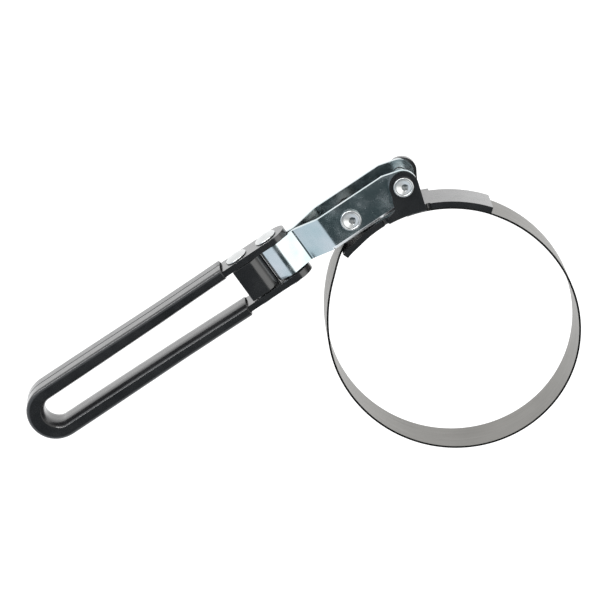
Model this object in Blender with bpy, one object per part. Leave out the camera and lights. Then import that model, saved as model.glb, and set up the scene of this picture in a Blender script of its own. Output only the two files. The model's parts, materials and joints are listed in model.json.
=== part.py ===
"""Oil filter wrench, swivel-handle band type, as separate solids.

Frame: the wrench lies on a bench. The origin is under the lever pivot rivet, on the flat face of its
lower head. +Z points up along the loop's axis, +X runs along the handle and lever towards the loop,
and +Y points away from the loop. Lengths in the constants are millimetres and angles are degrees.
"""
import math

import bmesh
import bpy
from mathutils import Matrix, Vector

MM = 0.001
GAP = 0.3                       # clearance between pieces that touch
MID = 12.4                      # height of the wrench's middle plane above the bench

# filter loop, centred beside the lever pivot, slightly oval at rest
LOOP_X = -16.1
LOOP_Y = -61.1
LOOP_RADIUS = 49.95             # middle of the band's thickness
OVAL = 0.026                    # the loop is this much longer along OVAL_AXIS
OVAL_AXIS = 98.0
BAND_WIDTH = 19.0
BAND_THICK = 0.6
WELD_START = 78.0               # the welded stretch lies under the saddle's tail
TAIL_END = 40.0
FREE_END = -208.0               # the band leaves the oval here and runs to its rivet
LOOP_LINKS = 8                  # bending links round the oval
END_LINKS = 2                   # bending links in the free end
LINK_GAP = 0.3

# rivets through the lever
PIVOT_SHANK = 2.4
PIVOT_HEAD = 3.95
BAND_PIN_X = -24.4
BAND_PIN_Y = -0.2
BAND_PIN_HEAD = 4.1
HEAD_HEIGHT = 1.1
DIMPLE_RADIUS = 1.7
DIMPLE_DEPTH = 0.7

# eye at the band's free end, with room for the pin to wander as the loop tightens
EYE_INNER = 3.3
EYE_WRAP = 300.0
TONGUE_WIDTH = 11.4
TAPER_START_X = -43.5
TAPER_END_X = -35.5

# saddle bracket
SADDLE_LIFT = BAND_THICK / 2 + GAP
SADDLE_THICK = 2.1
TOE_END = 110.0
TOE_FLARE_START = 102.0
TOE_FLARE = 0.5
TAIL_STEP = 66.0                # the tail is narrower on its lower side from here on
TAIL_LOW = -6.8
EAR_ROOT_LEFT = 86.7
EAR_ROOT_RIGHT = 68.3
EAR_INNER = 8.8
EAR_THICK = 2.2
EAR_OUTER = EAR_INNER + EAR_THICK
EAR_RADIUS = 6.3
EAR_CENTRE_Y = -0.5

# lever, a strip folded into a hairpin round the swivel rivet
LEVER_LOW = -6.8
LEVER_HIGH = 7.3
LEVER_THICK = 1.6
LEG_OUTER = 8.4
LEG_END_RADIUS = 5.7
JOG_END_X = -35.2
PINCH_X = -46.2
SWIVEL_X = -57.0
BIGHT_OUTER = 5.3               # from the swivel axis to the bight's top and nose
BIGHT_TOP_X = -56.0
BIGHT_NOSE_CORNER_X = -63.7
JOG_BEND = 4.5
PINCH_BEND = 2.5
BIGHT_TOP_BEND = 2.4
BIGHT_NOSE_BEND = 2.2

# handle fork and grip
FORK_Y = 0.1
ARM_THICK = 2.6
ARM_HALF_DEPTH = 5.8
FORK_HALF = 8.8                 # arm centre to the fork's middle
GRIP_HALF = 8.5                 # the same inside the grip
ARM_TIP_X = -48.6
FORK_BEND_X = -80.0
GRIP_BEND_X = -110.0
U_CENTRE_X = -164.2
GRIP_START_X = -78.0
GRIP_THICK_FORK = 5.4
GRIP_THICK_END = 6.4
GRIP_THICK_BEND = 7.4            # at the middle of the U
GRIP_HALF_DEPTH = 6.7
GRIP_CORNER = 1.9
SPACER_X = -70.8
ARM_PIN_SHANK = 2.2
ARM_PIN_HEAD = 4.6

# folded spacer strap between the arms
STRAP_RADIUS = 5.5
STRAP_THICK = 2.0
STRAP_BACK_X = -74.7
STRAP_CENTRE_X = SWIVEL_X - BIGHT_OUTER - 0.4 - STRAP_RADIUS


def clear_scene():
    for item in list(bpy.data.objects):
        bpy.data.objects.remove(item, do_unlink=True)


def material(name, colour, roughness, metallic):
    made = bpy.data.materials.new(name)
    made.use_nodes = True
    shader = made.node_tree.nodes["Principled BSDF"]
    shader.inputs["Base Color"].default_value = (*colour, 1.0)
    shader.inputs["Roughness"].default_value = roughness
    shader.inputs["Metallic"].default_value = metallic
    return made


def black_paint(name):
    return material(name + "_paint", (0.02, 0.02, 0.022), 0.35, 0.0)


def zinc(name):
    return material(name + "_zinc", (0.72, 0.76, 0.78), 0.28, 1.0)


def spring_steel(name):
    return material(name + "_steel", (0.42, 0.42, 0.41), 0.45, 1.0)


def vinyl(name):
    return material(name + "_vinyl", (0.018, 0.018, 0.02), 0.5, 0.0)


def polar(centre, radius, angle):
    return (centre[0] + radius * math.cos(math.radians(angle)),
            centre[1] + radius * math.sin(math.radians(angle)))


def arc(centre, radius, start, stop, steps):
    return [polar(centre, radius, start + (stop - start) * i / steps) for i in range(steps + 1)]


def prism(name, outline, low, high, axis="Z"):
    """Closed outline in two coordinates, swept from low to high along the third (mm)."""
    mesh = bpy.data.meshes.new(name)
    bm = bmesh.new()
    verts = []
    for u, v in outline:
        place = (u, v, low) if axis == "Z" else (u, low, v)
        verts.append(bm.verts.new(Vector(place) * MM))
    face = bm.faces.new(verts)
    swept = bmesh.ops.extrude_face_region(bm, geom=[face])
    step = Vector((0, 0, high - low)) if axis == "Z" else Vector((0, high - low, 0))
    moved = [item for item in swept["geom"] if isinstance(item, bmesh.types.BMVert)]
    bmesh.ops.translate(bm, verts=moved, vec=step * MM)
    bmesh.ops.recalc_face_normals(bm, faces=bm.faces)
    bm.to_mesh(mesh)
    bm.free()
    made = bpy.data.objects.new(name, mesh)
    bpy.context.collection.objects.link(made)
    return made


def finish(piece, surface):
    piece.data.materials.append(surface)
    piece.data.shade_smooth()
    piece.data.set_sharp_from_angle(angle=math.radians(35))
    return piece


def hide(tool):
    tool.hide_render = True
    tool.display_type = "WIRE"
    return tool


def combine(piece, tool, operation):
    step = piece.modifiers.new(tool.name, "BOOLEAN")
    step.operation = operation
    step.solver = "EXACT"
    step.object = hide(tool)


def hang(piece, x, y):
    """Moves the piece's origin onto its joint's axis and leaves the piece where it is."""
    place = Matrix.Translation(Vector((x, y, MID)) * MM)
    piece.data.transform(place.inverted() @ piece.matrix_basis)
    piece.matrix_basis = place


def hole(piece, name, x, y, radius, low, high):
    combine(piece, prism(name, arc((x, y), radius, 0, 345, 23), low, high), "DIFFERENCE")


def turned(name, profile, steps=24):
    """Solid of revolution about Z from (radius, z) points that run from the top end to the bottom."""
    mesh = bpy.data.meshes.new(name)
    bm = bmesh.new()
    rings = []
    for radius, z in profile:
        if radius == 0:
            rings.append([bm.verts.new(Vector((0, 0, z)) * MM)])
        else:
            rings.append([bm.verts.new(Vector((*polar((0, 0), radius, 360 * i / steps), z)) * MM)
                          for i in range(steps)])
    for upper, lower in zip(rings, rings[1:]):
        for i in range(steps):
            k = (i + 1) % steps
            if len(upper) == 1:
                bm.faces.new((upper[0], lower[i], lower[k]))
            elif len(lower) == 1:
                bm.faces.new((upper[i], lower[0], upper[k]))
            else:
                bm.faces.new((upper[i], lower[i], lower[k], upper[k]))
    bmesh.ops.recalc_face_normals(bm, faces=bm.faces)
    bm.to_mesh(mesh)
    bm.free()
    made = bpy.data.objects.new(name, mesh)
    bpy.context.collection.objects.link(made)
    return made


def rivet(name, shank, head, seat, dimple=True):
    """Rivet along Z, centred on zero: two low heads whose inner faces sit at plus and minus seat."""
    top = seat + HEAD_HEIGHT
    edge = 0.35
    upper = [(head - edge, top), (head, top - edge), (head, seat), (shank, seat)]
    crown = [(0, top)]
    if dimple:
        crown = [(0, top - DIMPLE_DEPTH), (DIMPLE_RADIUS - 0.5, top - DIMPLE_DEPTH), (DIMPLE_RADIUS, top)]
    lower = [(radius, -z) for radius, z in reversed(upper)] + [(0, -top)]
    return turned(name, crown + upper + lower)


# band ------------------------------------------------------------------------------------------

def ease(amount):
    amount = min(max(amount, 0.0), 1.0)
    return amount * amount * (3 - 2 * amount)


def loop_radius(angle):
    return LOOP_RADIUS * (1 + OVAL * math.cos(math.radians(2 * (angle - OVAL_AXIS))))


def loop_point(angle, lift=0.0):
    """Point on the loop at rest, or the given distance outside it."""
    return Vector(polar((LOOP_X, LOOP_Y), loop_radius(angle) + lift, angle))


def end_arc():
    """Arc that carries the band smoothly off the oval and past the loop side of its eye.

    Gives the arc's centre, radius, and the angles at which it starts and meets the eye.
    """
    start = loop_point(FREE_END)
    along = (loop_point(FREE_END - 0.01) - loop_point(FREE_END + 0.01)).normalized()
    inward = Vector((along.y, -along.x))
    eye = Vector((BAND_PIN_X, BAND_PIN_Y))
    reach = eye - start
    eye_radius = EYE_INNER + BAND_THICK / 2
    radius = (reach.dot(reach) - eye_radius ** 2) / (2 * (reach.dot(inward) + eye_radius))
    centre = start + inward * radius
    first = math.degrees(math.atan2(start.y - centre.y, start.x - centre.x))
    last = math.degrees(math.atan2(eye.y - centre.y, eye.x - centre.x))
    return centre, radius, first, last


def ribbon(points, thickness):
    """Outline of a strip of the given thickness along a line of points."""
    outer = []
    inner = []
    for i, point in enumerate(points):
        before = points[max(i - 1, 0)]
        after = points[min(i + 1, len(points) - 1)]
        along = (Vector(after) - Vector(before)).normalized()
        side = Vector((-along.y, along.x)) * thickness / 2
        outer.append(tuple(Vector(point) + side))
        inner.append(tuple(Vector(point) - side))
    return outer + inner[::-1]


def loop_link(name, start, stop, steps=9):
    """Link of the band between two angles round the oval, a small gap short of each."""
    trim = math.degrees(LINK_GAP / 2 / LOOP_RADIUS)
    angles = [start - trim + (stop - start + 2 * trim) * i / steps for i in range(steps + 1)]
    points = [loop_point(angle) for angle in angles]
    half = BAND_WIDTH / 2
    return finish(prism(name, ribbon(points, BAND_THICK), MID - half, MID + half), spring_steel(name))


def end_link(name, first_share, last_share, steps=8):
    centre, radius, first, last = end_arc()
    trim = math.degrees(LINK_GAP / 2 / radius)
    start = first + (last - first) * first_share - trim
    stop = first + (last - first) * last_share + (trim if last_share < 1 else 0)
    points = [Vector(point) for point in arc(centre, radius, start, stop, steps)]
    if last_share < 1:
        outline = ribbon(points, BAND_THICK)
    else:
        wrap = arc((BAND_PIN_X, BAND_PIN_Y), EYE_INNER + BAND_THICK / 2, last - 180,
                   last - 180 + EYE_WRAP, 20)
        outline = ribbon(points[:-1] + [Vector(point) for point in wrap], BAND_THICK)
    half = BAND_WIDTH / 2
    link = prism(name, outline, MID - half, MID + half)
    if last_share == 1:
        for side, sign in (("top", 1), ("bottom", -1)):
            trim_tongue(link, name + "_" + side, sign)
    return finish(link, spring_steel(name))


def trim_tongue(link, name, sign):
    """Cuts one edge of the band down to the tongue that passes between the lever's legs."""
    narrow = MID + sign * TONGUE_WIDTH / 2
    edge = MID + sign * BAND_WIDTH / 2
    beyond = MID + sign * BAND_WIDTH
    outline = [(TAPER_START_X, edge), (TAPER_END_X, narrow), (0, narrow), (0, beyond), (TAPER_START_X, beyond)]
    combine(link, prism(name, outline, -30, 20, axis="Y"), "DIFFERENCE")


def band():
    loop_link("band_welded_end", WELD_START, TAIL_END)
    span = (FREE_END - TAIL_END) / LOOP_LINKS
    for i in range(LOOP_LINKS):
        start = TAIL_END + span * i
        link = loop_link(f"band_link_{i + 1:02d}", start, start + span)
        hang(link, *loop_point(start))
    centre, radius, first, last = end_arc()
    for i in range(END_LINKS):
        link = end_link(f"band_link_{LOOP_LINKS + 1 + i:02d}", i / END_LINKS, (i + 1) / END_LINKS)
        hang(link, *polar(centre, radius, first + (last - first) * i / END_LINKS))


# saddle bracket --------------------------------------------------------------------------------

def saddle_outline():
    outer = []
    inner = []
    for i in range(24):
        angle = TAIL_END + (TOE_END - TAIL_END) * i / 23
        lift = SADDLE_LIFT + TOE_FLARE * ease((angle - TOE_FLARE_START) / (TOE_END - TOE_FLARE_START))
        outer.append(tuple(loop_point(angle, lift + SADDLE_THICK)))
        inner.append(tuple(loop_point(angle, lift)))
    return outer + inner[::-1]


def saddle_sector(start, stop, low, high):
    """Outline of a stretch of the saddle between two angles and two distances outside the loop."""
    angles = [start + (stop - start) * i / 6 for i in range(7)]
    outer = [tuple(loop_point(angle, high)) for angle in angles]
    inner = [tuple(loop_point(angle, low)) for angle in angles]
    return outer + inner[::-1]


def ear_outline():
    """One ear, from inside the base plate up its right edge, round the rivet and down the left."""
    foot = SADDLE_LIFT + SADDLE_THICK - 0.5
    foot_right = tuple(loop_point(EAR_ROOT_RIGHT + 0.4, foot))
    foot_left = tuple(loop_point(EAR_ROOT_LEFT - 0.4, foot))
    top = arc((0, EAR_CENTRE_Y), EAR_RADIUS, -20, 165, 14)
    left = [(-6.8, -0.6), (-7.6, -2.7), (-8.1, -5.8), (-9.4, -6.6)]
    return [foot_right, (3.0, -10.0)] + top + left + [foot_left]


def saddle_bracket():
    half = BAND_WIDTH / 2
    bracket = prism("saddle_bracket", saddle_outline(), MID - half, MID + half)
    crossbar = saddle_sector(EAR_ROOT_RIGHT, EAR_ROOT_LEFT, SADDLE_LIFT, SADDLE_LIFT + SADDLE_THICK)
    combine(bracket, prism("ear_crossbar", crossbar, MID - EAR_OUTER, MID + EAR_OUTER), "UNION")
    combine(bracket, prism("near_ear", ear_outline(), MID + EAR_INNER, MID + EAR_OUTER), "UNION")
    combine(bracket, prism("far_ear", ear_outline(), MID - EAR_OUTER, MID - EAR_INNER), "UNION")
    beyond = saddle_sector(TAIL_END - 5, TAIL_STEP, SADDLE_LIFT - 3, SADDLE_LIFT + SADDLE_THICK + 3)
    combine(bracket, prism("tail_step", beyond, MID - 15, MID + TAIL_LOW), "DIFFERENCE")
    hole(bracket, "ear_bore", 0, 0, PIVOT_SHANK + GAP, MID - 15, MID + 15)
    return finish(bracket, black_paint("saddle_bracket"))


# lever -----------------------------------------------------------------------------------------

def rounded(points, radii, steps=4):
    """The line of points with each inner corner turned into an arc of its own radius."""
    line = [Vector(points[0])]
    for before, corner, after, radius in zip(points, points[1:], points[2:], radii):
        corner = Vector(corner)
        back = (Vector(before) - corner).normalized()
        ahead = (Vector(after) - corner).normalized()
        half_angle = back.angle(ahead) / 2
        setback = radius / math.tan(half_angle)
        centre = corner + (back + ahead).normalized() * radius / math.sin(half_angle)
        start = corner + back * setback - centre
        stop = corner + ahead * setback - centre
        for i in range(steps + 1):
            spoke = start.slerp(stop, i / steps)
            line.append(centre + spoke.normalized() * radius)
    line.append(Vector(points[-1]))
    return line


def lever_line():
    """Middle line of the folded strip in (x, z): a leg, the pinch, round the bight and back."""
    leg = LEG_OUTER - LEVER_THICK / 2
    pinch = LEVER_THICK / 2 + 0.15
    top = BIGHT_OUTER - LEVER_THICK / 2
    half = [(10, leg), (JOG_END_X, leg), (PINCH_X, pinch), (BIGHT_TOP_X, top)]
    radii = [JOG_BEND, PINCH_BEND, BIGHT_TOP_BEND]
    points = half + [(BIGHT_NOSE_CORNER_X, 0)] + [(x, -z) for x, z in reversed(half)]
    line = rounded(points, radii + [BIGHT_NOSE_BEND] + radii[::-1])
    return [Vector((point.x, point.y + MID)) for point in line]


def lever():
    line = lever_line()
    made = prism("lever", ribbon(line, LEVER_THICK), LEVER_LOW, LEVER_HIGH, axis="Y")
    flat = [(-80, LEVER_LOW - 2), (-4.2, LEVER_LOW - 2), (-4.2, LEVER_LOW)]
    nose = arc((0, 0), LEG_END_RADIUS, -72, 72, 14)
    plan = flat + nose + [(-5.0, LEVER_HIGH), (-5.0, LEVER_HIGH + 2), (-80, LEVER_HIGH + 2)]
    combine(made, prism("lever_plan", plan, MID - 15, MID + 15), "INTERSECT")
    hole(made, "lever_bore", 0, 0, PIVOT_SHANK + GAP, MID - 15, MID + 15)
    hole(made, "band_pin_bore", BAND_PIN_X, BAND_PIN_Y, PIVOT_SHANK + GAP, MID - 15, MID + 15)
    return finish(made, zinc("lever"))


# handle ----------------------------------------------------------------------------------------

def hairpin(tip_x):
    """Middle line of the handle strip in (x, y): down one arm, round the U and back up the other."""
    arm = [(tip_x, FORK_HALF), (FORK_BEND_X, FORK_HALF), (GRIP_BEND_X, GRIP_HALF), (U_CENTRE_X, GRIP_HALF)]
    arm = [point for point in arm if point[0] <= tip_x]
    bend = arc((U_CENTRE_X, 0), GRIP_HALF, 90, 270, 18)
    line = arm[:-1] + bend + [(x, -y) for x, y in reversed(arm[:-1])]
    return [Vector((x, y + FORK_Y)) for x, y in line]


def handle_strip():
    strip = prism("handle_strip", ribbon(hairpin(ARM_TIP_X), ARM_THICK),
                  MID - ARM_HALF_DEPTH, MID + ARM_HALF_DEPTH)
    tip = arc((ARM_TIP_X - ARM_HALF_DEPTH, MID), ARM_HALF_DEPTH, -90, 90, 12)
    profile = tip + [(-200, MID + ARM_HALF_DEPTH), (-200, MID - ARM_HALF_DEPTH)]
    combine(strip, prism("tip_profile", profile, -20, 20, axis="Y"), "INTERSECT")
    for name, x in (("swivel_bore", SWIVEL_X), ("spacer_bore", SPACER_X)):
        cutter = prism(name, arc((x, MID), ARM_PIN_SHANK + GAP, 0, 345, 23), -20, 20, axis="Y")
        combine(strip, cutter, "DIFFERENCE")
    return finish(strip, black_paint("handle_strip"))


def grip_section(half_thick):
    """Rounded rectangle as (distance from the middle line, height) points."""
    section = []
    for side, level, start in ((1, 1, 0), (-1, 1, 90), (-1, -1, 180), (1, -1, 270)):
        centre = (side * (half_thick - GRIP_CORNER), MID + level * (GRIP_HALF_DEPTH - GRIP_CORNER))
        section += arc(centre, GRIP_CORNER, start, start + 90, 4)
    return section


def grip_thickness(x):
    along_arm = ease((GRIP_START_X - x) / (GRIP_START_X - U_CENTRE_X))
    round_bend = ease((U_CENTRE_X - x) / GRIP_HALF)
    return (GRIP_THICK_FORK + (GRIP_THICK_END - GRIP_THICK_FORK) * along_arm
            + (GRIP_THICK_BEND - GRIP_THICK_END) * round_bend)


def grip_line():
    """The grip's middle line, with extra points along the arms where its thickness changes."""
    line = []
    rough = hairpin(GRIP_START_X)
    for start, stop in zip(rough, rough[1:]):
        steps = max(1, round((stop - start).length / 12))
        line += [start.lerp(stop, i / steps) for i in range(steps)]
    return line + [rough[-1]]


def vinyl_grip():
    line = grip_line()
    mesh = bpy.data.meshes.new("vinyl_grip")
    bm = bmesh.new()
    rings = []
    for i, point in enumerate(line):
        along = (line[min(i + 1, len(line) - 1)] - line[max(i - 1, 0)]).normalized()
        side = Vector((-along.y, along.x))
        ring = []
        for offset, height in grip_section(grip_thickness(point.x) / 2):
            spot = point + side * offset
            ring.append(bm.verts.new(Vector((spot.x, spot.y, height)) * MM))
        rings.append(ring)
    for ring, following in zip(rings, rings[1:]):
        for i in range(len(ring)):
            k = (i + 1) % len(ring)
            bm.faces.new((ring[i], ring[k], following[k], following[i]))
    bm.faces.new(rings[0])
    bm.faces.new(rings[-1])
    bmesh.ops.recalc_face_normals(bm, faces=bm.faces)
    bm.to_mesh(mesh)
    bm.free()
    grip = bpy.data.objects.new("vinyl_grip", mesh)
    bpy.context.collection.objects.link(grip)
    inside = ribbon(hairpin(GRIP_START_X + 5), ARM_THICK + 2 * GAP)
    half = ARM_HALF_DEPTH + GAP
    combine(grip, prism("grip_core", inside, MID - half, MID + half), "DIFFERENCE")
    return finish(grip, vinyl("vinyl_grip"))


def arm_rivet(name, x):
    seat = FORK_HALF + ARM_THICK / 2 + GAP
    made = rivet(name, ARM_PIN_SHANK, ARM_PIN_HEAD, seat, dimple=False)
    made.rotation_euler = (math.radians(90), 0, 0)
    made.location = Vector((x, FORK_Y, MID)) * MM
    return finish(made, zinc(name))


def spacer_strap():
    radius = STRAP_RADIUS - STRAP_THICK / 2
    bend = arc((STRAP_CENTRE_X, MID), radius, 90, -90, 14)
    line = [(STRAP_BACK_X, MID + radius)] + bend + [(STRAP_BACK_X, MID - radius)]
    half = FORK_HALF - ARM_THICK / 2 - GAP
    made = prism("spacer_strap", ribbon([Vector(point) for point in line], STRAP_THICK),
                 FORK_Y - half, FORK_Y + half, axis="Y")
    return finish(made, black_paint("spacer_strap"))


def plate_rivet(name, x, y, head, face):
    made = rivet(name, PIVOT_SHANK, head, face + GAP)
    made.location = Vector((x, y, MID)) * MM
    return finish(made, zinc(name))


def build():
    clear_scene()
    saddle_bracket()
    plate_rivet("lever_pivot_rivet", 0, 0, PIVOT_HEAD, EAR_OUTER)
    band()
    for piece in (lever(), plate_rivet("band_rivet", BAND_PIN_X, BAND_PIN_Y, BAND_PIN_HEAD, LEG_OUTER)):
        hang(piece, 0, 0)
    for piece in (handle_strip(), vinyl_grip(), arm_rivet("swivel_rivet", SWIVEL_X),
                  arm_rivet("spacer_rivet", SPACER_X), spacer_strap()):
        hang(piece, SWIVEL_X, FORK_Y)


build()
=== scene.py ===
"""Looks of the swivel-handle oil filter wrench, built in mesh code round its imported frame.

Shapes are worked out in millimetres in the row frame: +X along the handle from the grip to the lever, +Z up
along the loop's axis, the origin on the bench under the lever pivot rivet.
"""
import json
import math

import bmesh
import bpy
from mathutils import Matrix, Vector


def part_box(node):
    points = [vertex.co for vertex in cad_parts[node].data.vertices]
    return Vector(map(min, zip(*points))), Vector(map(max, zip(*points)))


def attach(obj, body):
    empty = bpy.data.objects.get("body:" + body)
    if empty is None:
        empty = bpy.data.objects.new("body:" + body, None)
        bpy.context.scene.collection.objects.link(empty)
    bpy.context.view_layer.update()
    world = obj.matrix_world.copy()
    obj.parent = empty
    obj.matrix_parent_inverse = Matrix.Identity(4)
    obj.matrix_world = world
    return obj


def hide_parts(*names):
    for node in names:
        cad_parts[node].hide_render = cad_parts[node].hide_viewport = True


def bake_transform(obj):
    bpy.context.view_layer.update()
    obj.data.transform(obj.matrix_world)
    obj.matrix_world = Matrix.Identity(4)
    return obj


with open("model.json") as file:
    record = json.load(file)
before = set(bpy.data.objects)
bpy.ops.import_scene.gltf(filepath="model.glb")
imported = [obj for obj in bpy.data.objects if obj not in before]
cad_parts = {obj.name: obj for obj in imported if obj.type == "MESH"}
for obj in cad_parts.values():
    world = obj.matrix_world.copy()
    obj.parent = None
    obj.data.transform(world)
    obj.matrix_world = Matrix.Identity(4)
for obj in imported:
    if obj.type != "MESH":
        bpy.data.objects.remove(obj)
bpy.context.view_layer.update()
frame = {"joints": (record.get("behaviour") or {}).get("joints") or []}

MM = 0.001
JOINTS = {joint["name"]: Vector(joint["pos_m"]) / MM for joint in frame["joints"]}
MID = JOINTS["lever_pivot"].z          # height of the wrench's middle plane
SWIVEL = JOINTS["handle_swivel"]

# filter loop and band
LOOP_CENTRE = (-16.1, -61.1)
LOOP_RADIUS = 49.95
OVAL = 0.026               # the radius grows and shrinks by this share round the loop
OVAL_AXIS = 98.0           # angle at which the loop is widest
WELD_START = 78            # angles round the loop where the band starts, bends first and leaves the oval
TAIL_END = 40
FREE_END = -208
LINK_ANGLE = 31
LINKS = 10
FREE_STEPS = 36            # points on the arc from the oval to the eye
BAND_HALF = 9.5
BAND_OUTSIDE = 0.3         # from the middle line to the band's outside and inside
BAND_INSIDE = 0.5
THICKEN_FROM = 34          # points of the line over which the inside goes from BAND_OUTSIDE to BAND_INSIDE
THICKEN_OVER = 10
BAND_CORNER = 0.06
EYE_RADIUS = 3.6
EYE_WRAP = 296.0
EYE_STEPS = 48
TONGUE_HALF = 5.7
TONGUE_LEAD = 10           # the taper can start this many points before the last joint
LAST_REACH = 14            # points from the last joint to the end of its span
TAPER_START_X = -43.5
TAPER_END_X = -35.5

# saddle bracket
SADDLE_LIFT = 0.32         # from the band's middle line to the underside and the top of the base
SADDLE_TOP = 2.7
TOE_END = 110.0
TOE_FLARE_START = 102.0
TOE_FLARE = 0.5
TAIL_STEP = 66.0
TAIL_LOW = -6.8
EAR_LEFT = 86.7
EAR_RIGHT = 68.8
EAR_INNER = 8.8
EAR_OUTER = 11.0
EAR_BEND_OUTSIDE = 0.4
EAR_BEND_INSIDE = 0.3
EAR_BLANK = 22.0           # how far the blank reaches above the band before the ears are cut out
NEAR_EAR = (0.25, 0.05)
NEAR_EAR_RADIUS = 5.75
EAR_SHEAR = 0.75           # how much smaller the near ear is on its inside, where it was sheared
FAR_EAR = (1.0, -0.6)
FAR_EAR_RADIUS = 5.85
FAR_EAR_RIGHT = 69.6
EAR_MARGIN = 6             # degrees by which the ears' blank is longer than the ears at each end
EAR_LEFT_EDGE = ((-5.8, -0.9), (-6.9, -3.0), (-7.9, -6.2))
HIP_ANGLE = 0.6            # the corner low on an ear's right edge
HIP_RISE = 1.2
EAR_HOLE_RADIUS = 2.7
NOTCH_RADIUS = 0.9
NOTCH_ANGLE = 0.9          # from an ear's edge to the notch beside it

# lever
LEVER_LOW = -6.8
LEVER_HIGH = 7.3
LEVER_THICK = 1.6
LEG_OUTER = 8.4
LEG_END_RADIUS = 5.7
LEG_END_LOW_X = -4.2       # where the rounded end meets the lower and upper edges
LEG_END_HIGH_X = -5.0
LEG_END_ANGLE = 72
LEG_BLANK_X = 10
LEVER_HOLE_RADIUS = 2.6
JOG_END_X = -35.2
PINCH_X = -46.2
PINCH_GAP = 0.3            # between the legs where they pinch together
BIGHT_OUTER = 5.3
BIGHT_TOP_X = -55.4
BIGHT_NOSE_X = -61.15
BIGHT_NOSE_HALF = 1.9
BIGHT_REACH = 5.14         # of the bight from the swivel's axis
JOG_BEND = 4.5
PINCH_BEND = 2.5
BIGHT_TOP_BEND = 3.6
BIGHT_NOSE_BEND = 1.3
DRAWN_END_X = -45.0        # the lower edge is drawn over from the rounded end to here
DRAWN_WIDTH = 1.2
DRAWN_ANGLE = 20

# rivets
SHANK_RADIUS = 2.4
# rolled rim of a rivet from its pit outwards: share of the radius, drop below the top
RIM = ((0.46, 0.48), (0.60, 0.32), (0.70, 0.16), (0.735, 0.14), (0.77, 0.24), (0.80, 0.24), (0.83, 0.10),
       (0.87, 0.01), (0.91, 0.0), (0.95, 0.06), (0.985, 0.22), (1.0, 0.45), (1.0, 0.8))
ARM_PIN_SHANK = 2.2
ARM_DOME = 1.1

# handle
ARM_THICK = 2.6
ARM_HALF_DEPTH = 5.8
FORK_HALF = 8.8
GRIP_HALF = 8.5
ARM_TIP_X = -48.6
FORK_BEND_X = -80.0
GRIP_BEND_X = -110.0
U_CENTRE_X = -164.2
GRIP_START_X = -78.0
GRIP_THICK_FORK = 5.4
GRIP_THICK_END = 6.4
GRIP_THICK_BEND = 7.4
GRIP_HALF_DEPTH = 6.7
GRIP_CORNER = 1.5
GROOVE_DEPTH = 0.28
GROOVE_HALF = 0.45         # half the width of the groove at its top and at its floor
GROOVE_FLOOR_HALF = 0.12
# rings at the grip's mouth: how far each is set back, and its share of the section
GRIP_MOUTH = [(0.9, 0.62), (0.9, 0.70), (0.0, 0.86), (0.0, 0.94), (0.35, 1.0)]
STRAP_RADIUS = 5.5
STRAP_THICK = 2.0
STRAP_BACK_X = -74.7
STRAP_GAP = 0.03           # behind the bight
STRAP_CENTRE_X = SWIVEL.x - BIGHT_REACH - STRAP_GAP - STRAP_RADIUS

# how far cutting tools reach: above and below MID, to each side of the X axis, and along it
CUT_HEIGHT = 15
CUT_WIDTH = 20
CUT_END_X = -200


# shapes ----------------------------------------------------------------------------------------

def polar(centre, radius, angle):
    turn = math.radians(angle)
    return Vector((centre[0] + radius * math.cos(turn), centre[1] + radius * math.sin(turn)))


def arc(centre, radius, start, stop, steps):
    return [polar(centre, radius, start + (stop - start) * i / steps) for i in range(steps + 1)]


def ease(amount):
    amount = min(max(amount, 0.0), 1.0)
    return amount * amount * (3 - 2 * amount)


def loop_point(angle, lift=0.0):
    radius = LOOP_RADIUS * (1 + OVAL * math.cos(math.radians(2 * (angle - OVAL_AXIS))))
    return polar(LOOP_CENTRE, radius + lift, angle)


def crosswise(points, i):
    """Unit vector across a line of points at point i."""
    along = (points[min(i + 1, len(points) - 1)] - points[max(i - 1, 0)]).normalized()
    return Vector((-along.y, along.x))


def ribbon(points, thickness):
    outer = [point + crosswise(points, i) * thickness / 2 for i, point in enumerate(points)]
    inner = [point - crosswise(points, i) * thickness / 2 for i, point in enumerate(points)]
    return outer + inner[::-1]


def rounded(points, radii, steps):
    """The line of points with each inner corner turned into an arc of its own radius."""
    line = [Vector(points[0])]
    for before, corner, after, radius in zip(points, points[1:], points[2:], radii):
        corner = Vector(corner)
        back = (Vector(before) - corner).normalized()
        ahead = (Vector(after) - corner).normalized()
        half_angle = back.angle(ahead) / 2
        setback = radius / math.tan(half_angle)
        centre = corner + (back + ahead).normalized() * radius / math.sin(half_angle)
        start = corner + back * setback - centre
        stop = corner + ahead * setback - centre
        line += [centre + start.slerp(stop, i / steps).normalized() * radius for i in range(steps + 1)]
    line.append(Vector(points[-1]))
    return line


def new_piece(name, bm):
    mesh = bpy.data.meshes.new(name)
    bmesh.ops.recalc_face_normals(bm, faces=bm.faces)
    bmesh.ops.scale(bm, vec=(MM, MM, MM), verts=bm.verts)
    bm.to_mesh(mesh)
    bm.free()
    piece = bpy.data.objects.new(name, mesh)
    bpy.context.scene.collection.objects.link(piece)
    return piece


def plate(name, outline, low, high, axis="Z"):
    """Closed outline in two coordinates, swept from low to high along the third."""
    orders = {"Y": (0, 2, 1), "Z": (0, 1, 2)}
    bm = bmesh.new()
    places = [[(u, v, low)[k] for k in orders[axis]] for u, v in outline]
    face = bm.faces.new([bm.verts.new(place) for place in places])
    swept = bmesh.ops.extrude_face_region(bm, geom=[face])
    step = [(0, 0, high - low)[k] for k in orders[axis]]
    moved = [item for item in swept["geom"] if isinstance(item, bmesh.types.BMVert)]
    bmesh.ops.translate(bm, verts=moved, vec=step)
    return new_piece(name, bm)


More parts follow.
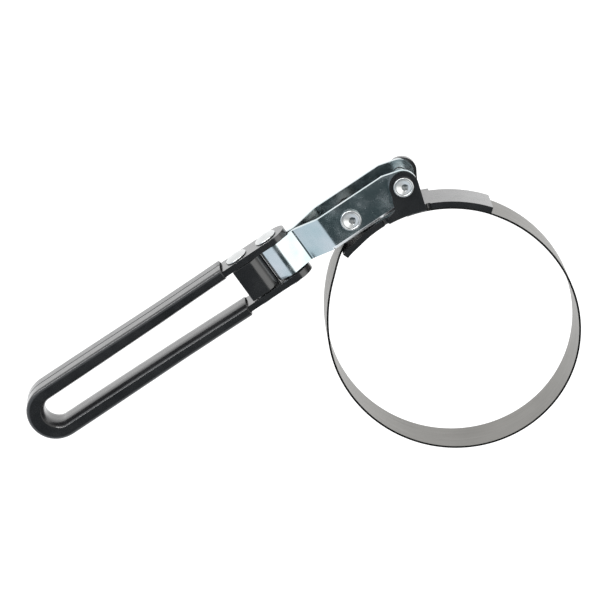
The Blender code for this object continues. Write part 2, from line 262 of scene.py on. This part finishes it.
def loft(name, rings, runs=None, heights=None):
    """Skin over rings of points, capped at both ends.

    With runs and heights it also gets a UV map: the distance along, and the height across, in metres.
    """
    bm = bmesh.new()
    made = [[bm.verts.new(point) for point in ring] for ring in rings]
    layer = bm.loops.layers.uv.new("strip") if runs else None
    count = len(rings[0])
    for i in range(len(made) - 1):
        for k in range(count):
            n = (k + 1) % count
            face = bm.faces.new((made[i][k], made[i][n], made[i + 1][n], made[i + 1][k]))
            if layer:
                spots = ((i, k), (i, n), (i + 1, n), (i + 1, k))
                for loop, (ring, spot) in zip(face.loops, spots):
                    loop[layer].uv = (runs[ring] * MM, heights[ring][spot] * MM)
    bm.faces.new(made[0])
    bm.faces.new(made[-1][::-1])
    return new_piece(name, bm)


def bake(piece, *tools):
    """Applies the piece's modifiers and removes the tools they used."""
    graph = bpy.context.evaluated_depsgraph_get()
    mesh = bpy.data.meshes.new_from_object(piece.evaluated_get(graph))
    piece.modifiers.clear()
    piece.data = mesh
    for tool in tools:
        bpy.data.objects.remove(tool, do_unlink=True)
    return piece


def combine(piece, tool, operation):
    step = piece.modifiers.new(operation, "BOOLEAN")
    step.operation = operation
    step.solver = "EXACT"
    step.object = tool
    return bake(piece, tool)


def hole(piece, x, y, radius):
    outline = arc((x, y), radius, 0, 352, 44)
    return combine(piece, plate("cutter", outline, MID - CUT_HEIGHT, MID + CUT_HEIGHT), "DIFFERENCE")


def soften(piece, width):
    """Rounds the piece's sharp edges and keeps its flat faces flat in shading."""
    piece.data.shade_smooth()
    edge = piece.modifiers.new("soften", "BEVEL")
    edge.width = width * MM
    edge.segments = 3
    edge.limit_method = "ANGLE"
    edge.angle_limit = math.radians(30)
    edge.use_clamp_overlap = True
    edge.miter_outer = "MITER_ARC"
    shade = piece.modifiers.new("shade", "WEIGHTED_NORMAL")
    shade.mode = "FACE_AREA"
    shade.weight = 100
    return bake(piece)


def smooth(piece):
    """Shades the piece smooth, apart from edges sharper than 40 degrees."""
    piece.data.shade_smooth()
    piece.data.set_sharp_from_angle(angle=math.radians(40))
    shade = piece.modifiers.new("shade", "WEIGHTED_NORMAL")
    shade.mode = "FACE_AREA"
    shade.weight = 100
    shade.keep_sharp = True
    return bake(piece)


def dress(piece, surface, slot, body, *nodes):
    """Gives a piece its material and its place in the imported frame."""
    piece.data.materials.clear()
    piece.data.materials.append(surface)
    if body:
        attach(piece, body)
    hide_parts(*nodes)
    return piece


# materials -------------------------------------------------------------------------------------

def link(tree, output, target):
    tree.links.new(output, target)


def noise(tree, scale, detail=2.0, stretch=(1, 1, 1), coordinates="Object"):
    """Noise in the piece's own metres; scale is in features per metre."""
    if coordinates == "Object":
        place = tree.nodes.new("ShaderNodeTexCoord").outputs["Object"]
    else:
        layer = tree.nodes.new("ShaderNodeUVMap")
        layer.uv_map = coordinates
        place = layer.outputs["UV"]
    mapping = tree.nodes.new("ShaderNodeMapping")
    mapping.inputs["Scale"].default_value = stretch
    link(tree, place, mapping.inputs["Vector"])
    texture = tree.nodes.new("ShaderNodeTexNoise")
    texture.inputs["Scale"].default_value = scale
    texture.inputs["Detail"].default_value = detail
    link(tree, mapping.outputs["Vector"], texture.inputs["Vector"])
    return texture.outputs["Fac"]


def spread(tree, factor, low, high, start=0.3, stop=0.7):
    """Maps the usual spread of a noise onto a range of values."""
    node = tree.nodes.new("ShaderNodeMapRange")
    node.inputs["From Min"].default_value = start
    node.inputs["From Max"].default_value = stop
    node.inputs["To Min"].default_value = low
    node.inputs["To Max"].default_value = high
    link(tree, factor, node.inputs["Value"])
    return node.outputs["Result"]


def tint(tree, factor, first, second):
    node = tree.nodes.new("ShaderNodeMix")
    node.data_type = "RGBA"
    node.inputs["A"].default_value = (*first, 1)
    node.inputs["B"].default_value = (*second, 1)
    link(tree, factor, node.inputs["Factor"])
    return node.outputs["Result"]


def blend_colour(tree, factor, colour, other):
    node = tree.nodes.new("ShaderNodeMix")
    node.data_type = "RGBA"
    node.inputs["B"].default_value = (*other, 1)
    link(tree, factor, node.inputs["Factor"])
    link(tree, colour, node.inputs["A"])
    return node.outputs["Result"]


def add(tree, first, second):
    node = tree.nodes.new("ShaderNodeMath")
    node.operation = "ADD"
    link(tree, first, node.inputs[0])
    link(tree, second, node.inputs[1])
    return node.outputs["Value"]


def bump(tree, shader, height, distance):
    node = tree.nodes.new("ShaderNodeBump")
    node.inputs["Distance"].default_value = distance * MM
    link(tree, height, node.inputs["Height"])
    link(tree, node.outputs["Normal"], shader.inputs["Normal"])


def surface(name, metallic):
    made = bpy.data.materials.new(name)
    made.use_nodes = True
    shader = made.node_tree.nodes["Principled BSDF"]
    shader.inputs["Metallic"].default_value = metallic
    return made, made.node_tree, shader


def black_paint():
    made, tree, shader = surface("black_paint", metallic=0)
    cloud = noise(tree, 90, 3)
    link(tree, tint(tree, spread(tree, cloud, 0, 1), (0.010, 0.010, 0.011), (0.020, 0.020, 0.021)),
         shader.inputs["Base Color"])
    link(tree, spread(tree, noise(tree, 160, 4), 0.18, 0.30), shader.inputs["Roughness"])
    shader.inputs["Coat Weight"].default_value = 0.8
    shader.inputs["Coat Roughness"].default_value = 0.14
    bump(tree, shader, noise(tree, 500, 3), 0.012)
    return made


def zinc(name, roughness, dull, bright, down_edge_highlight):
    """Zinc plating, clouded and speckled, with a painted highlight on faces turned towards -Y, where a lower
    edge is drawn over.
    """
    made, tree, shader = surface(name, metallic=1)
    cloud = noise(tree, 90, 5)
    plating = tint(tree, spread(tree, cloud, 0, 1), dull, bright)
    # painted highlight: faces turned towards -Y, the lever's lower edges, are mixed towards near white and
    # made a little rougher
    facing = tree.nodes.new("ShaderNodeSeparateXYZ")
    link(tree, tree.nodes.new("ShaderNodeTexCoord").outputs["Normal"], facing.inputs["Vector"])
    down_edge_highlight_mask = spread(tree, facing.outputs["Y"], 0, down_edge_highlight, -0.08, -0.22)
    link(tree, blend_colour(tree, down_edge_highlight_mask, plating, (0.95, 0.96, 0.96)), shader.inputs["Base Color"])
    blotches = spread(tree, noise(tree, 170, 6), roughness, roughness * 2.0, 0.45, 0.75)
    specks = spread(tree, noise(tree, 1300, 2), 0, 0.16, 0.66, 0.76)
    highlight_roughening = spread(tree, down_edge_highlight_mask, 0, 0.08, 0, 1)
    link(tree, add(tree, add(tree, blotches, specks), highlight_roughening), shader.inputs["Roughness"])
    scratches = noise(tree, 260, 6, stretch=(0.25, 3.0, 1.0))
    bump(tree, shader, add(tree, scratches, noise(tree, 60, 2)), 0.05)
    return made


def spring_steel():
    made, tree, shader = surface("spring_steel", metallic=1)
    streaks = noise(tree, 1600, 3, stretch=(0.02, 1.0, 1.0), coordinates="strip")
    steel = tint(tree, spread(tree, noise(tree, 50, 3), 0, 1), (0.180, 0.175, 0.164), (0.212, 0.206, 0.194))
    # painted shade: faces turned up towards +Z, the band's upper edge, are mixed to near black
    facing = tree.nodes.new("ShaderNodeSeparateXYZ")
    link(tree, tree.nodes.new("ShaderNodeTexCoord").outputs["Normal"], facing.inputs["Vector"])
    up_edge_shade = spread(tree, facing.outputs["Z"], 0, 1, 0.5, 0.8)
    link(tree, blend_colour(tree, up_edge_shade, steel, (0.02, 0.02, 0.02)), shader.inputs["Base Color"])
    link(tree, spread(tree, streaks, 0.34, 0.46), shader.inputs["Roughness"])
    bump(tree, shader, streaks, 0.012)
    return made


def vinyl():
    made, tree, shader = surface("vinyl", metallic=0)
    cloud = noise(tree, 60, 3)
    link(tree, tint(tree, spread(tree, cloud, 0, 1), (0.009, 0.009, 0.010), (0.016, 0.016, 0.017)),
         shader.inputs["Base Color"])
    link(tree, spread(tree, noise(tree, 220, 4), 0.20, 0.32), shader.inputs["Roughness"])
    shader.inputs["Coat Weight"].default_value = 0.6
    shader.inputs["Coat Roughness"].default_value = 0.16
    bump(tree, shader, noise(tree, 700, 3), 0.006)
    return made


PAINT = black_paint()
# the lever gets the painted highlight on its lower edges; the rivets get none
LEVER_ZINC = zinc("lever_zinc", roughness=0.17, down_edge_highlight=1,
                  dull=(0.46, 0.56, 0.58), bright=(0.64, 0.67, 0.69))
RIVET_ZINC = zinc("rivet_zinc", roughness=0.14, down_edge_highlight=0,
                  dull=(0.52, 0.53, 0.53), bright=(0.66, 0.67, 0.67))
STEEL = spring_steel()
VINYL = vinyl()


# band ------------------------------------------------------------------------------------------

def end_arc():
    """Arc from the oval to the loop side of the eye: its centre, radius, first and last angle."""
    start = loop_point(FREE_END)
    nudge = 0.01
    along = (loop_point(FREE_END - nudge) - loop_point(FREE_END + nudge)).normalized()
    inward = Vector((along.y, -along.x))
    eye = eye_centre()
    reach = eye - start
    radius = (reach.dot(reach) - EYE_RADIUS ** 2) / (2 * (reach.dot(inward) + EYE_RADIUS))
    centre = start + inward * radius
    first = math.degrees(math.atan2(start.y - centre.y, start.x - centre.x))
    last = math.degrees(math.atan2(eye.y - centre.y, eye.x - centre.x))
    return centre, radius, first, last


def eye_centre():
    low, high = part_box("band_rivet")
    return ((low + high) / 2 / MM).xy


def band_line():
    """Middle line of the whole band, and the places along it where its bending joints lie."""
    centre, radius, first, last = end_arc()
    loop = [loop_point(angle) for angle in range(WELD_START, FREE_END, -1)]
    free = arc(centre, radius, first, last, FREE_STEPS)
    wrap = arc(eye_centre(), EYE_RADIUS, last - 180, last - 180 + EYE_WRAP, EYE_STEPS)
    joints = [WELD_START - TAIL_END + LINK_ANGLE * i for i in range(LINKS - 1)]
    joints.append(len(loop) + FREE_STEPS // 2)
    return loop + free + wrap[1:], joints


def band_half(x, wrapped):
    """Half the band's width; it narrows to a tongue that passes between the lever's legs."""
    if not wrapped:
        return BAND_HALF
    share = ease((x - TAPER_START_X) / (TAPER_END_X - TAPER_START_X))
    return BAND_HALF + (TONGUE_HALF - BAND_HALF) * share


def strip_section(half, inside):
    """Section of the strip, with its corners just broken: (offset, height) points."""
    edge = BAND_CORNER
    section = []
    for side, level, start in ((1, 1, 0), (-1, 1, 90), (-1, -1, 180), (1, -1, 270)):
        face = BAND_OUTSIDE if side > 0 else -inside
        section += arc((face - side * edge, level * (half - edge)), edge, start, start + 90, 3)
    return section


def band_piece(name, line, first, last, tongue_from):
    rings = []
    runs = []
    heights = []
    run = sum((line[i + 1] - line[i]).length for i in range(first))
    for i in range(first, last + 1):
        across = crosswise(line, i)
        inside = BAND_OUTSIDE + (BAND_INSIDE - BAND_OUTSIDE) * ease((i - THICKEN_FROM) / THICKEN_OVER)
        section = strip_section(band_half(line[i].x, i > tongue_from), inside)
        spots = [line[i] + across * offset for offset, height in section]
        rings.append([(spot.x, spot.y, MID + height) for spot, (offset, height) in zip(spots, section)])
        heights.append([height for offset, height in section])
        runs.append(run)
        if i < last:
            run += (line[i + 1] - line[i]).length
    return smooth(loft(name, rings, runs, heights))


def band():
    """Ten spans, each laid over one joint, and the eye, which stays rigid."""
    line, joints = band_line()
    tongue_from = joints[-1] - TONGUE_LEAD
    ends = [(a + b) // 2 for a, b in zip(joints, joints[1:])] + [joints[-1] + LAST_REACH]
    first = 0
    for number, last in enumerate(ends, start=1):
        piece = band_piece(f"band_span_{number:02d}", line, first, last, tongue_from)
        nodes = [f"band_link_{number:02d}"] if number < LINKS else []
        if number == 1:
            nodes.append("band_welded_end")
        dress(piece, STEEL, "spring_steel", None, *nodes)
        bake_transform(piece)
        first = last
    eye = band_piece("band_eye", line, first, len(line) - 1, tongue_from)
    dress(eye, STEEL, "spring_steel", "band_10", "band_link_10")


# saddle bracket --------------------------------------------------------------------------------

def saddle_outline():
    outer = []
    inner = []
    steps = 60
    for i in range(steps + 1):
        angle = TAIL_END + (TOE_END - TAIL_END) * i / steps
        flare = TOE_FLARE * ease((angle - TOE_FLARE_START) / (TOE_END - TOE_FLARE_START))
        outer.append(loop_point(angle, SADDLE_TOP + flare))
        inner.append(loop_point(angle, SADDLE_LIFT + flare))
    return outer + inner[::-1]


def saddle_sector(start, stop, low, high):
    steps = 16
    angles = [start + (stop - start) * i / steps for i in range(steps + 1)]
    return [loop_point(angle, high) for angle in angles] + [loop_point(angle, low) for angle in angles[::-1]]


def ear_channel():
    """The ears and the plate between them, bent from one strip, before the ears are cut to shape."""
    outer = (SADDLE_LIFT + EAR_BEND_OUTSIDE, EAR_OUTER - EAR_BEND_OUTSIDE)
    inner = (SADDLE_TOP + EAR_BEND_INSIDE, EAR_INNER - EAR_BEND_INSIDE)
    half = [(SADDLE_LIFT, 0)] + [tuple(point) for point in arc(outer, EAR_BEND_OUTSIDE, 180, 90, 8)]
    half += [(EAR_BLANK, EAR_OUTER), (EAR_BLANK, EAR_INNER)]
    half += [tuple(point) for point in arc(inner, EAR_BEND_INSIDE, 90, 180, 5)] + [(SADDLE_TOP, 0)]
    section = half + [(lift, -height) for lift, height in reversed(half[1:-1])]
    rings = []
    steps = 30
    for i in range(steps + 1):
        angle = EAR_RIGHT - EAR_MARGIN + (EAR_LEFT - EAR_RIGHT + 2 * EAR_MARGIN) * i / steps
        spots = [(loop_point(angle, lift), height) for lift, height in section]
        rings.append([(spot.x, spot.y, MID + height) for spot, height in spots])
    return loft("ears", rings)


def ear_outline(centre, radius, right):
    below = SADDLE_LIFT - 1
    foot_right = loop_point(right, below)
    foot_left = loop_point(EAR_LEFT, below)
    hip_right = loop_point(right + HIP_ANGLE, SADDLE_TOP + HIP_RISE)
    top = arc(centre, radius, -20, 165, 32)
    left = rounded([*EAR_LEFT_EDGE, loop_point(EAR_LEFT - 1.0, SADDLE_TOP)], [3.0, 0.8], 4)
    return [foot_right, hip_right] + top + left + [foot_left]


def saddle_bracket():
    bracket = plate("saddle_bracket", saddle_outline(), MID - BAND_HALF, MID + BAND_HALF)
    below_tail = saddle_sector(TAIL_END - 5, TAIL_STEP, -3, 6)
    bracket = combine(bracket, plate("tail", below_tail, MID - CUT_HEIGHT, MID + TAIL_LOW), "DIFFERENCE")
    inside = ear_outline(NEAR_EAR, NEAR_EAR_RADIUS - EAR_SHEAR, EAR_RIGHT)
    outside = ear_outline(NEAR_EAR, NEAR_EAR_RADIUS, EAR_RIGHT)
    levels = ((inside, -1), (inside, EAR_INNER), (outside, EAR_OUTER), (outside, CUT_HEIGHT))
    near = [[(point[0], point[1], MID + level) for point in outline] for outline, level in levels]
    far = ear_outline(FAR_EAR, FAR_EAR_RADIUS, FAR_EAR_RIGHT)
    plan = combine(loft("near_plan", near), plate("far_plan", far, MID - CUT_HEIGHT, MID), "UNION")
    ears = combine(ear_channel(), plan, "INTERSECT")
    bracket = combine(bracket, ears, "UNION")
    for angle in (EAR_RIGHT - NOTCH_ANGLE, EAR_LEFT + NOTCH_ANGLE):
        spot = loop_point(angle)
        notch = plate("notch", arc((0, 0), NOTCH_RADIUS, 0, 345, 23), -4, 8)
        turn = Matrix.Rotation(math.radians(angle), 4, "Z") @ Matrix.Rotation(math.radians(90), 4, "Y")
        notch.matrix_world = Matrix.Translation(Vector((spot.x, spot.y, MID + BAND_HALF)) * MM) @ turn
        bpy.context.view_layer.update()
        bracket = combine(bracket, notch, "DIFFERENCE")
    bracket = hole(bracket, 0, 0, EAR_HOLE_RADIUS)
    soften(bracket, 0.3)
    dress(bracket, PAINT, "black_paint", "frame", "saddle_bracket")


# lever -----------------------------------------------------------------------------------------

def lever_line():
    """Middle line of the folded strip in (x, z): a leg, the pinch, round the bight and back."""
    leg = LEG_OUTER - LEVER_THICK / 2
    pinch = (LEVER_THICK + PINCH_GAP) / 2
    top = BIGHT_OUTER - LEVER_THICK / 2
    half = [(LEG_BLANK_X, leg), (JOG_END_X, leg), (PINCH_X, pinch), (BIGHT_TOP_X, top),
            (BIGHT_NOSE_X, BIGHT_NOSE_HALF)]
    radii = [JOG_BEND, PINCH_BEND, BIGHT_TOP_BEND, BIGHT_NOSE_BEND]
    points = half + [(x, -z) for x, z in reversed(half)]
    line = rounded(points, radii + radii[::-1], 10)
    return [Vector((point.x, point.y + MID)) for point in line]


def drawn_edge(line):
    """Waste taken off a leg's lower edge, where the punch drew the sheet over; it follows the leg's line."""
    face = LEVER_THICK / 2
    start = LEVER_LOW + DRAWN_WIDTH
    beyond = 1
    drop = (DRAWN_WIDTH + beyond) * math.tan(math.radians(DRAWN_ANGLE))
    outline = [(start, face + beyond), (start, face), (start - 0.15, face - 0.025),
               (LEVER_LOW - beyond, face - drop), (LEVER_LOW - beyond, face + beyond)]
    rings = []
    for i, point in enumerate(line):
        spots = [(point - crosswise(line, i) * lift, y) for y, lift in outline]
        rings.append([(spot.x, y, spot.y) for spot, y in spots])
    return loft("roll", rings)


def lever():
    made = plate("lever", ribbon(lever_line(), LEVER_THICK), LEVER_LOW, LEVER_HIGH, axis="Y")
    beyond = 2
    flat = [(CUT_END_X, LEVER_LOW - beyond), (LEG_END_LOW_X, LEVER_LOW - beyond), (LEG_END_LOW_X, LEVER_LOW)]
    nose = arc((0, 0), LEG_END_RADIUS, -LEG_END_ANGLE, LEG_END_ANGLE, 32)
    plan = flat + nose + [(LEG_END_HIGH_X, LEVER_HIGH), (LEG_END_HIGH_X, LEVER_HIGH + beyond),
                          (CUT_END_X, LEVER_HIGH + beyond)]
    made = combine(made, plate("plan", plan, MID - CUT_HEIGHT, MID + CUT_HEIGHT), "INTERSECT")
    line = lever_line()
    leg = [point for point in line[:len(line) // 2] if point.x > DRAWN_END_X]
    far_leg = [Vector((point.x, 2 * MID - point.y)) for point in reversed(leg)]
    for side in (leg, far_leg):
        made = combine(made, drawn_edge(side), "DIFFERENCE")
    eye = eye_centre()
    made = hole(hole(made, 0, 0, LEVER_HOLE_RADIUS), eye.x, eye.y, LEVER_HOLE_RADIUS)
    soften(made, 0.35)
    dress(made, LEVER_ZINC, "zinc_plate", "lever", "lever")


# rivets ----------------------------------------------------------------------------------------

def turned(name, profile):
    """Solid of revolution from (radius, z, aside) points; aside moves that ring off the axis."""
    steps = 48
    bm = bmesh.new()
    rings = []
    for radius, z, aside in profile:
        if radius == 0:
            rings.append([bm.verts.new((aside, -aside, z))])
        else:
            spots = arc((aside, -aside), radius, 0, 360 - 360 / steps, steps - 1)
            rings.append([bm.verts.new((spot.x, spot.y, z)) for spot in spots])
    for upper, lower in zip(rings, rings[1:]):
        for i in range(steps):
            k = (i + 1) % steps
            corners = [upper[i % len(upper)], lower[i % len(lower)],
                       lower[k % len(lower)], upper[k % len(upper)]]
            bm.faces.new(list(dict.fromkeys(corners)))
    return new_piece(name, bm)


def rolled_head(radius, top):
    """Rolled end of a rivet: a rounded rim, a fine groove, a dished ring and a deep off-centre pit."""
    pit = [(0, top - 3.6, 0.5), (radius * 0.27, top - 3.5, 0.5), (radius * 0.33, top - 0.72, 0.35)]
    return pit + [(radius * share, top - drop, 0) for share, drop in RIM]


def plate_rivet(name, body, radius, face):
    """Rivet through both legs; face is the height from its middle at which its heads start."""
    low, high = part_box(name)
    spot = (low + high) / 2
    top = high.z / MM - spot.z / MM
    shank = [(radius, face), (SHANK_RADIUS, face), (SHANK_RADIUS, -face), (radius, -face),
             (radius, -top + 0.3), (radius - 0.12, -top + 0.08), (radius - 0.35, -top), (0, -top)]
    profile = rolled_head(radius, top) + [(r, z, 0) for r, z in shank]
    rivet = smooth(turned(name + "_look", profile))
    rivet.data.transform(Matrix.Translation(spot))
    dress(rivet, RIVET_ZINC, "zinc_plate", body, name)


def arm_rivet(name):
    low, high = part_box(name)
    spot = (low + high) / 2
    radius = (high.x - low.x) / 2 / MM
    top = (high.y - low.y) / 2 / MM
    seat = top - ARM_DOME
    angles = [math.radians(angle) for angle in range(0, 91, 10)]
    dome = [(radius * math.sin(angle), seat + ARM_DOME * math.cos(angle)) for angle in angles]
    half = dome + [(radius - 0.1, seat - 0.02), (ARM_PIN_SHANK, seat)]
    profile = half + [(r, -z) for r, z in reversed(half)]
    rivet = smooth(turned(name + "_look", [(r, z, 0) for r, z in profile]))
    rivet.data.transform(Matrix.Translation(spot) @ Matrix.Rotation(math.radians(-90), 4, "X"))
    dress(rivet, RIVET_ZINC, "zinc_plate", "handle", name)


# handle ----------------------------------------------------------------------------------------

def hairpin(tip_x, spacing):
    """Middle line of the handle strip: down one arm, round the U and back up the other."""
    corners = [(tip_x, FORK_HALF), (FORK_BEND_X, FORK_HALF), (GRIP_BEND_X, GRIP_HALF),
               (U_CENTRE_X, GRIP_HALF)]
    corners = [Vector(point) for point in corners if point[0] <= tip_x]
    arm = []
    for start, stop in zip(corners, corners[1:]):
        steps = max(1, round((stop - start).length / spacing))
        arm += [start.lerp(stop, i / steps) for i in range(steps)]
    bend = arc((U_CENTRE_X, 0), GRIP_HALF, 90, 270, 48)
    line = arm + bend + [Vector((point.x, -point.y)) for point in reversed(arm)]
    return [point + Vector((0, SWIVEL.y)) for point in line]


def handle_strip():
    strip = plate("handle_strip", ribbon(hairpin(ARM_TIP_X, spacing=8), ARM_THICK),
                  MID - ARM_HALF_DEPTH, MID + ARM_HALF_DEPTH)
    tip = arc((ARM_TIP_X - ARM_HALF_DEPTH, MID), ARM_HALF_DEPTH, -90, 90, 32)
    edge = ARM_HALF_DEPTH + 1
    profile = tip + [Vector((CUT_END_X, MID + edge)), Vector((CUT_END_X, MID - edge))]
    strip = combine(strip, plate("tip", profile, -CUT_WIDTH, CUT_WIDTH, axis="Y"), "INTERSECT")
    soften(strip, 0.35)
    dress(strip, PAINT, "black_paint", "handle", "handle_strip")


def grip_thickness(x):
    along_arm = ease((GRIP_START_X - x) / (GRIP_START_X - U_CENTRE_X))
    round_bend = ease((U_CENTRE_X - x) / GRIP_HALF)
    return (GRIP_THICK_FORK + (GRIP_THICK_END - GRIP_THICK_FORK) * along_arm
            + (GRIP_THICK_BEND - GRIP_THICK_END) * round_bend)


def grip_section(half):
    """Section of the moulded grip: (offset from the strip, height) points, offset growing outwards.

    The outer face is flat with a parting groove along its middle. The inner face is rounded, and meets
    each flat side in a narrow bright chamfer.
    """
    depth = GRIP_HALF_DEPTH
    base = half - GROOVE_DEPTH
    groove = [(half, GROOVE_HALF), (base, GROOVE_FLOOR_HALF),
              (base, -GROOVE_FLOOR_HALF), (half, -GROOVE_HALF)]
    outer = arc((half - GRIP_CORNER, depth - GRIP_CORNER), GRIP_CORNER, 90, 0, 6)
    inner = [(-half + inward, depth - down) for inward, down in
             ((0.0, 5.4), (0.03, 4.2), (0.15, 3.1), (0.38, 2.2), (0.60, 1.7), (0.83, 1.25), (1.05, 0.85),
              (1.25, 0.50), (1.75, 0.0))]
    near = inner + [tuple(point) for point in outer]
    far = [(offset, -height) for offset, height in near[::-1]]
    return near + groove + far


def vinyl_grip():
    line = hairpin(GRIP_START_X, spacing=4)
    rings = []
    for i, point in enumerate(line):
        section = grip_section(grip_thickness(point.x) / 2)
        at_end = {0: 1, len(line) - 1: -1}.get(i, 0)
        inset = GRIP_MOUTH[::at_end] if at_end else [(0.0, 1.0)]
        for back, share in inset:
            middle = point + Vector((-back, 0))
            across = crosswise(line, i)
            spots = [(middle - across * offset * share, height * share) for offset, height in section]
            rings.append([(spot.x, spot.y, MID + height) for spot, height in spots])
    grip = smooth(loft("vinyl_grip", rings))
    dress(grip, VINYL, "vinyl", "handle", "vinyl_grip")


def spacer_strap():
    radius = STRAP_RADIUS - STRAP_THICK / 2
    bend = arc((STRAP_CENTRE_X, MID), radius, 90, -90, 40)
    line = [Vector((STRAP_BACK_X, MID + radius))] + bend + [Vector((STRAP_BACK_X, MID - radius))]
    low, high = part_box("spacer_strap")
    strap = plate("spacer_strap", ribbon(line, STRAP_THICK), low.y / MM, high.y / MM, axis="Y")
    soften(strap, 0.3)
    dress(strap, PAINT, "black_paint", "handle", "spacer_strap")


# studio ----------------------------------------------------------------------------------------

def floor():
    bm = bmesh.new()
    bmesh.ops.create_grid(bm, x_segments=1, y_segments=1, size=3000)
    made = new_piece("floor", bm)
    finish, _, shader = surface("pale_floor", metallic=0)
    shader.inputs["Base Color"].default_value = (0.2, 0.2, 0.2, 1)
    shader.inputs["Specular IOR Level"].default_value = 0
    shader.inputs["Roughness"].default_value = 0.9
    shader.inputs["Emission Color"].default_value = (1, 1, 1, 1)
    shader.inputs["Emission Strength"].default_value = 1.15
    made.data.materials.append(finish)


def area_light(name, place, target, width, height, power, colour):
    data = bpy.data.lights.new(name, "AREA")
    data.shape = "RECTANGLE"
    data.size = width
    data.size_y = height
    data.energy = power
    data.color = colour
    lamp = bpy.data.objects.new(name, data)
    lamp.location = place
    lamp.rotation_euler = (Vector(target) - Vector(place)).to_track_quat("-Z", "Y").to_euler()
    bpy.context.scene.collection.objects.link(lamp)


def toward(tree, place, direction, edge, core):
    """0 to 1 inside a round patch of the surroundings, by the cosine of the angle to its middle."""
    node = tree.nodes.new("ShaderNodeVectorMath")
    node.operation = "DOT_PRODUCT"
    node.inputs[1].default_value = Vector(direction).normalized()
    link(tree, place.outputs["Generated"], node.inputs[0])
    return spread(tree, node.outputs["Value"], 0, 1, edge, core)


def tent():
    """White all round, with a brighter panel, and dark overhead where the tent opens at the camera."""
    world = bpy.data.worlds.new("tent")
    bpy.context.scene.world = world
    world.use_nodes = True
    tree = world.node_tree
    sky = tree.nodes["Background"]
    place = tree.nodes.new("ShaderNodeTexCoord")
    split = tree.nodes.new("ShaderNodeSeparateXYZ")
    link(tree, place.outputs["Generated"], split.inputs["Vector"])
    rightward = spread(tree, split.outputs["X"], 0, 1, -0.5, 0.3)
    walls = tint(tree, rightward, (0.88, 0.95, 1.02), (0.75, 0.75, 0.74))
    panel = toward(tree, place, (0.56, -0.27, 0.78), edge=0.84, core=0.95)
    lit = blend_colour(tree, panel, walls, (1.95, 1.95, 1.92))
    opening = toward(tree, place, (-0.15, -0.31, 0.94), edge=0.90, core=0.955)
    seen = blend_colour(tree, opening, lit, (0.055, 0.075, 0.080))
    link(tree, seen, sky.inputs["Color"])


def camera():
    eye = Vector((0.1027, 0.32266, 1.06017))
    back = Vector((0.14633, 0.30653, 0.94054)).normalized()
    right = Vector((0.82585, -0.56125, 0.05443)).normalized()
    up = back.cross(right)
    data = bpy.data.cameras.new("camera")
    data.lens = 169.614
    data.sensor_width = 36
    data.clip_start = 0.05
    made = bpy.data.objects.new("camera", data)
    made.matrix_world = Matrix(((right.x, up.x, back.x, eye.x), (right.y, up.y, back.y, eye.y),
                                (right.z, up.z, back.z, eye.z), (0, 0, 0, 1)))
    bpy.context.scene.collection.objects.link(made)
    bpy.context.scene.camera = made


def studio():
    floor()
    tent()
    middle = (-0.08, -0.03, 0.01)
    area_light("back_strip", (-0.05, 0.8, 0.35), middle, width=1.3, height=0.12, power=5, colour=(1, 1, 1))
    camera()
    bpy.context.scene.view_settings.view_transform = "Standard"


saddle_bracket()
band()
lever()
plate_rivet("lever_pivot_rivet", "frame", radius=3.95, face=11.3)
plate_rivet("band_rivet", "lever", radius=4.1, face=8.7)
handle_strip()
vinyl_grip()
arm_rivet("swivel_rivet")
arm_rivet("spacer_rivet")
spacer_strap()
studio()
